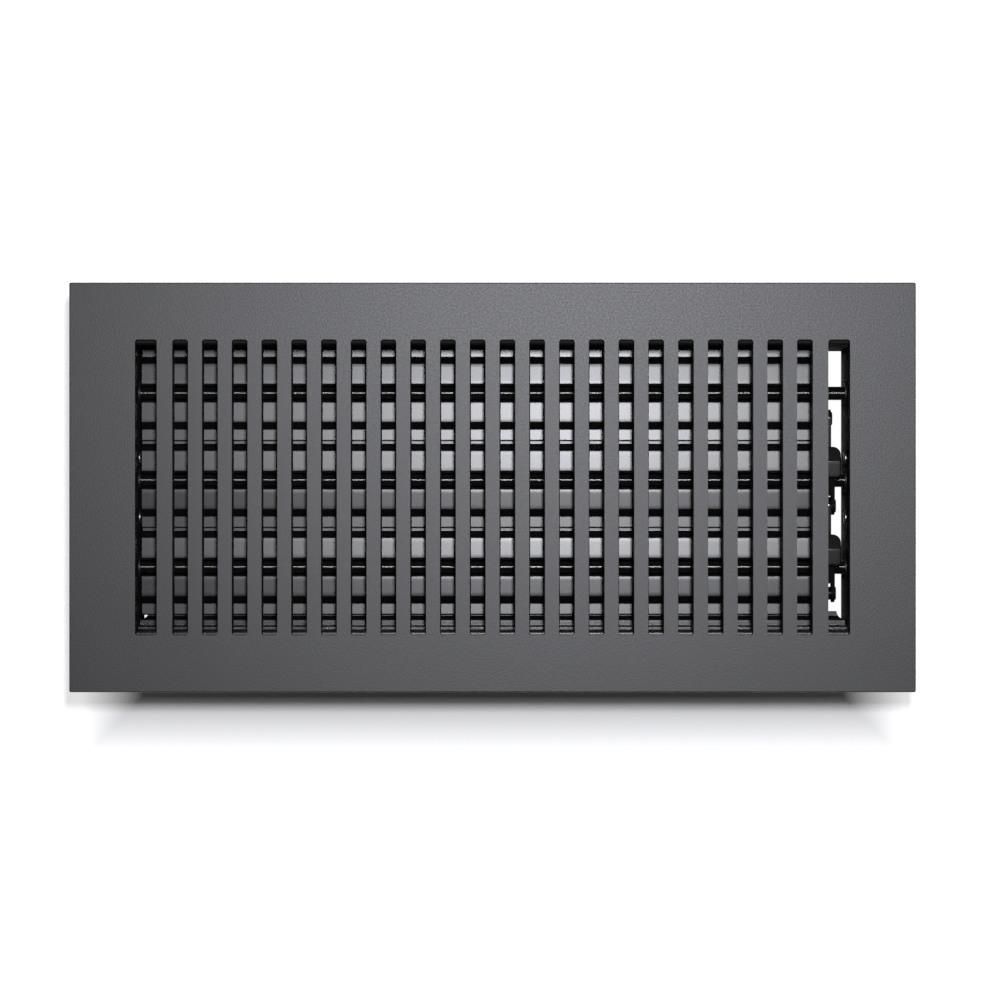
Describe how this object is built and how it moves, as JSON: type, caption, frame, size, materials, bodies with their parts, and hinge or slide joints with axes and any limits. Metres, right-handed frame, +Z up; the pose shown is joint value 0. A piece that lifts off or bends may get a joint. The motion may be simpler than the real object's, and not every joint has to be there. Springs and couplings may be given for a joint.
{
  "type": "floor register",
  "caption": "Slotted cast floor register over a folded sheet-steel damper frame, with linked pivoting blades that finger knobs in the end slot open and close.",
  "frame": {"origin": "centre of the plate's seat on the floor, in the plane of the rim's underside", "axes": "+X along the plate towards the finger slot with the linkage, +Y across it, +Z up out of the floor"},
  "size_m": [0.2954, 0.143, 0.044],
  "materials": {
    "cast_plate": "matte",
    "frame_paint": "gloss",
    "blade_paint": "gloss",
    "rod_steel": "gloss",
    "link_steel": "satin",
    "zinc_steel": "satin",
    "bush_nylon": "satin",
    "knob_plastic": "satin"
  },
  "bodies": {
    "frame": {"face_plate": "cast_plate", "side_wall_front": "frame_paint", "side_wall_back": "frame_paint", "end_plate_left": "frame_paint", "end_plate_right": "frame_paint", "stop_strip": "frame_paint", "frame_rivets": "zinc_steel", "flange_screws": "zinc_steel", "bush_left_1": "bush_nylon", "bush_right_1": "bush_nylon", "bush_left_2": "bush_nylon", "bush_right_2": "bush_nylon", "bush_left_3": "bush_nylon", "bush_right_3": "bush_nylon"},
    "blade_set_1": {"blade_1": "blade_paint", "rod_1": "rod_steel", "link_pin_1": "zinc_steel"},
    "blade_set_2": {"blade_2": "blade_paint", "rod_2": "rod_steel", "link_pin_2": "zinc_steel"},
    "blade_set_3": {"blade_3": "blade_paint", "rod_3": "rod_steel", "link_pin_3": "zinc_steel"},
    "link_set_a": {"link_a": "link_steel", "knob_a": "knob_plastic"},
    "link_set_b": {"link_b": "link_steel", "knob_b": "knob_plastic"}
  },
  "joints": [
    {"name": "blade_1_turn", "type": "hinge", "parent": "frame", "child": "blade_set_1", "pos_m": [0, 0.0335, -0.0195], "axis": [-1, 0, 0], "range_deg": [0, 75]},
    {"name": "blade_2_turn", "type": "hinge", "parent": "frame", "child": "blade_set_2", "pos_m": [0, 0.0026, -0.0195], "axis": [-1, 0, 0], "range_deg": [0, 75]},
    {"name": "blade_3_turn", "type": "hinge", "parent": "frame", "child": "blade_set_3", "pos_m": [0, -0.0283, -0.0195], "axis": [-1, 0, 0], "range_deg": [0, 75]},
    {"name": "link_a_pivot", "type": "hinge", "parent": "blade_set_1", "child": "link_set_a", "pos_m": [0.1182, 0.02442, -0.01312], "axis": [-1, 0, 0], "range_deg": [-75, 0]},
    {"name": "link_b_pivot", "type": "hinge", "parent": "blade_set_2", "child": "link_set_b", "pos_m": [0.1182, -0.00648, -0.01312], "axis": [-1, 0, 0], "range_deg": [-75, 0]}
  ],
  "couplings": [
    {"joint": "blade_2_turn", "follows": "blade_1_turn", "ratio": 1},
    {"joint": "blade_3_turn", "follows": "blade_1_turn", "ratio": 1},
    {"joint": "link_a_pivot", "follows": "blade_1_turn", "ratio": -1},
    {"joint": "link_b_pivot", "follows": "blade_1_turn", "ratio": -1}
  ]
}
